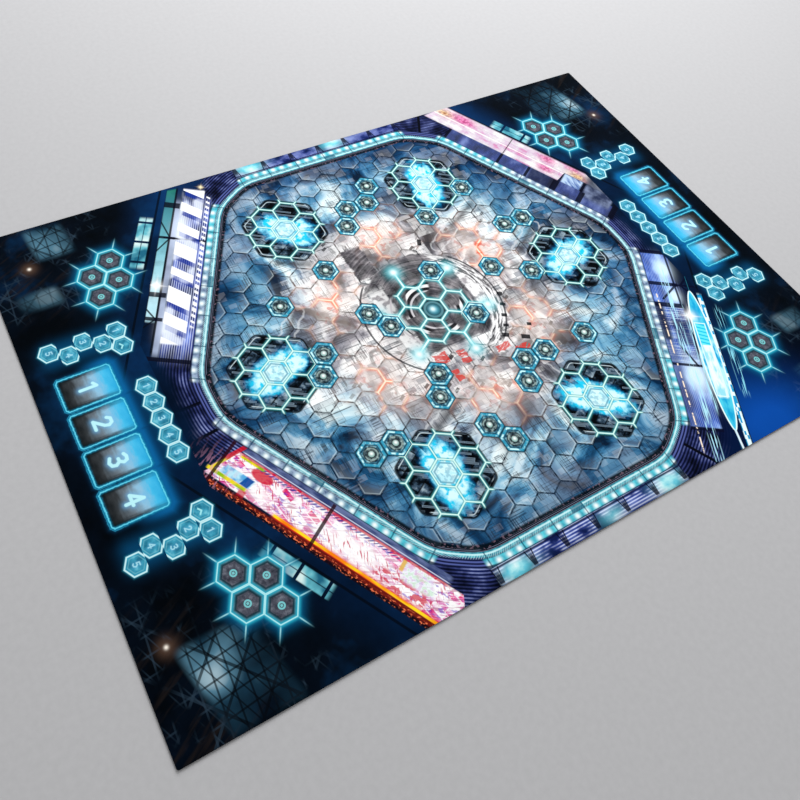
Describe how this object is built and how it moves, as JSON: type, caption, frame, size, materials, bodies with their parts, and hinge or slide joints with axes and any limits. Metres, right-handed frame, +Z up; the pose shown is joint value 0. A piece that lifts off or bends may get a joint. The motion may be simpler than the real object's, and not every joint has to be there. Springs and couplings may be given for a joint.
{
  "type": "gaming mat",
  "caption": "Flat rectangular tabletop gaming mat with a printed hexagon arena on woven cloth, bonded to a thin foam rubber base.",
  "frame": {"origin": "middle of the underside, on the table surface", "axes": "+X along the long side, +Y along the short side, +Z up through the printed face"},
  "size_m": [0.9, 0.6, 0.002],
  "materials": {
    "foam_rubber": "matt black foam rubber with a fine moulded non-slip pattern underneath",
    "hot_melt_film": "thin grey hot-melt film, seen only as a hairline in the cut edge",
    "printed_cloth": "smooth finely woven polyester, dye-printed in navy, cyan, white and magenta, low sheen"
  },
  "bodies": {
    "root": {"rubber_base": "foam_rubber", "bonding_film": "hot_melt_film", "printed_cloth_face": "printed_cloth"}
  },
  "joints": []
}
